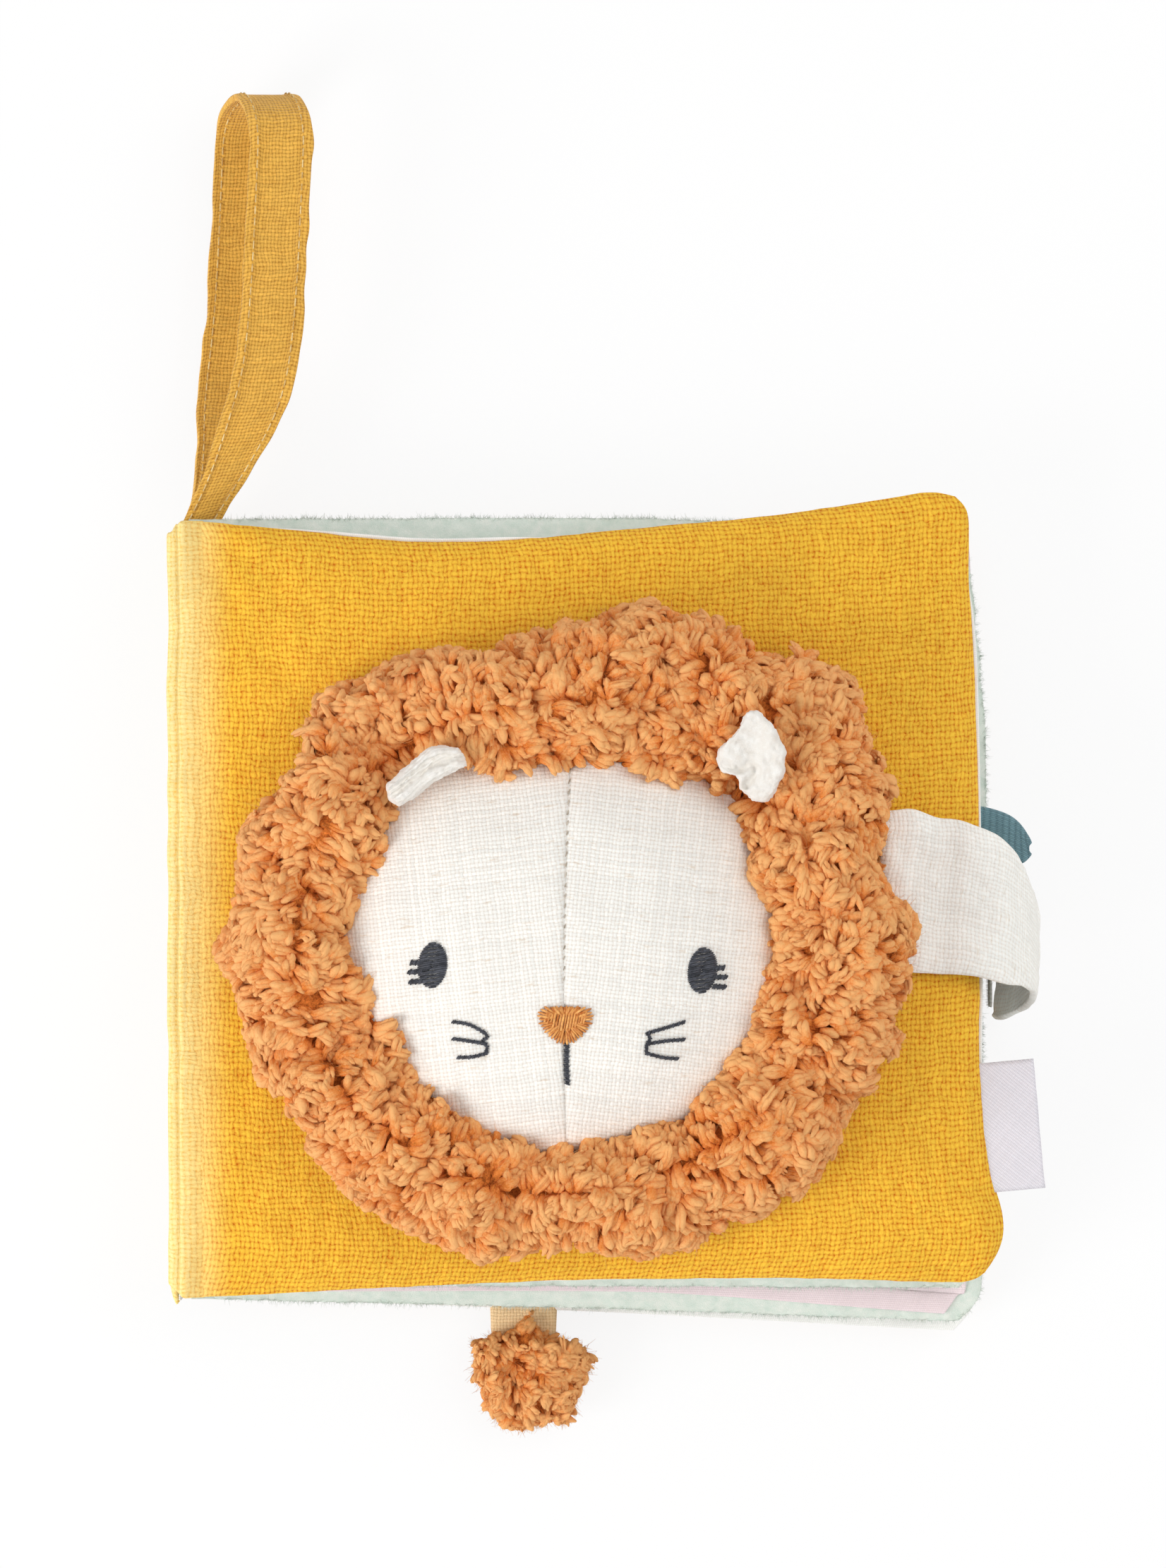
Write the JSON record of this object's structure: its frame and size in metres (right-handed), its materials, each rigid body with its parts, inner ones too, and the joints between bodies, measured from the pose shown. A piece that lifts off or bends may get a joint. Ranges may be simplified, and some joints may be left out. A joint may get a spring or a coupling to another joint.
{
  "type": "crinkle cloth book",
  "caption": "Soft square cloth book with padded covers and crinkle leaves, a stuffed lion's head with a pile mane on the front, a wrap-round closure strap and a hanging loop.",
  "frame": {"origin": "on the flat of the back cover's underside, where the closed book rests", "axes": "+X from the spine to the fore edge, +Y to the head of the book, +Z out of the front cover"},
  "size_m": [0.1677, 0.2568, 0.0587],
  "materials": {
    "gauze": "open double gauze, matt",
    "ochre_linen": "plain linen weave",
    "cotton_lining": "smooth cotton",
    "mint_plush": "short plush pile",
    "pink_cotton": "fine twill",
    "teal_weave": "woven ribbon",
    "oatmeal_linen": "slubby linen",
    "rust_pile": "curly sherpa pile",
    "tan_linen": "plain linen weave",
    "charcoal_thread": "satin stitch",
    "brown_thread": "satin stitch",
    "grey_satin": "satin ribbon",
    "wadding": "polyester fill",
    "crinkle_film": "clear film",
    "hook_and_loop": "hook and loop tape",
    "ear_velour": "short velour"
  },
  "bodies": {
    "back_cover": {"back_cover_gauze": "gauze", "back_cover_wadding": "wadding", "back_cover_crinkle_film": "crinkle_film", "back_cover_lining": "cotton_lining", "hook_patch": "hook_and_loop"},
    "spine": {"spine_gauze": "gauze", "spine_wadding": "wadding", "spine_lining": "cotton_lining"},
    "leaf_two": {"leaf_two_pink_face": "pink_cotton", "leaf_two_wadding": "wadding", "leaf_two_crinkle_film": "crinkle_film", "leaf_two_mint_back": "mint_plush"},
    "leaf_one": {"leaf_one_mint_face": "mint_plush", "leaf_one_wadding": "wadding", "leaf_one_crinkle_film": "crinkle_film", "leaf_one_mint_back": "mint_plush"},
    "front_cover": {"front_cover_gauze": "gauze", "front_cover_wadding": "wadding", "front_cover_crinkle_film": "crinkle_film", "front_cover_lining": "cotton_lining", "face_gore_left": "oatmeal_linen", "face_gore_right": "oatmeal_linen", "head_stuffing": "wadding", "mane": "rust_pile", "ear_left": "ear_velour", "ear_right": "ear_velour", "eye_left": "charcoal_thread", "eye_right": "charcoal_thread", "nose": "brown_thread", "mouth_line": "charcoal_thread", "whiskers_left": "charcoal_thread", "whiskers_right": "charcoal_thread", "strap_sewn_end": "oatmeal_linen"},
    "closure_strap": {"closure_strap": "oatmeal_linen", "loop_patch": "hook_and_loop"},
    "label": {"label": "grey_satin"},
    "woven_tab": {"woven_tab": "teal_weave"},
    "tail": {"tail_strip": "tan_linen", "tail_tuft": "rust_pile"},
    "hanging_loop": {"hanging_loop": "ochre_linen"}
  },
  "joints": [
    {"name": "front_cover_open", "type": "hinge", "parent": "spine", "child": "front_cover", "pos_m": [-0.0755, 0, 0.02644], "axis": [0, -1, 0], "range_deg": [0, 90]},
    {"name": "spine_fold", "type": "hinge", "parent": "back_cover", "child": "spine", "pos_m": [-0.0755, 0, 0.0057], "axis": [0, -1, 0], "range_deg": [0, 90]},
    {"name": "leaf_one_turn", "type": "hinge", "parent": "spine", "child": "leaf_one", "pos_m": [-0.0746, 0, 0.01966], "axis": [0, -1, 0], "range_deg": [0, 30]},
    {"name": "leaf_two_turn", "type": "hinge", "parent": "spine", "child": "leaf_two", "pos_m": [-0.0746, 0, 0.01248], "axis": [0, -1, 0], "range_deg": [-30, 0]},
    {"name": "strap_open", "type": "hinge", "parent": "front_cover", "child": "closure_strap", "pos_m": [0.069, 0, 0.034], "axis": [0, -1, 0], "range_deg": [0, 90]},
    {"name": "label_flap", "type": "hinge", "parent": "front_cover", "child": "label", "pos_m": [0.07987, -0.038, 0.02644], "axis": [0.09, -0.9959, 0], "range_deg": [-50, 70]},
    {"name": "woven_tab_flap", "type": "hinge", "parent": "leaf_one", "child": "woven_tab", "pos_m": [0.07796, 0, 0.01966], "axis": [0, 1, 0], "range_deg": [-10, 50]},
    {"name": "tail_lift", "type": "hinge", "parent": "back_cover", "child": "tail", "pos_m": [0, -0.076, 0.0065], "axis": [-1, 0, 0], "range_deg": [0, 44]},
    {"name": "loop_lift", "type": "hinge", "parent": "spine", "child": "hanging_loop", "pos_m": [-0.0726, 0.0765, 0.0184], "axis": [1, 0, 0], "range_deg": [0, 55]}
  ],
  "couplings": [
    {"joint": "spine_fold", "follows": "front_cover_open", "ratio": 1},
    {"joint": "leaf_one_turn", "follows": "front_cover_open", "ratio": 0.3333},
    {"joint": "leaf_two_turn", "follows": "front_cover_open", "ratio": -0.3333}
  ]
}
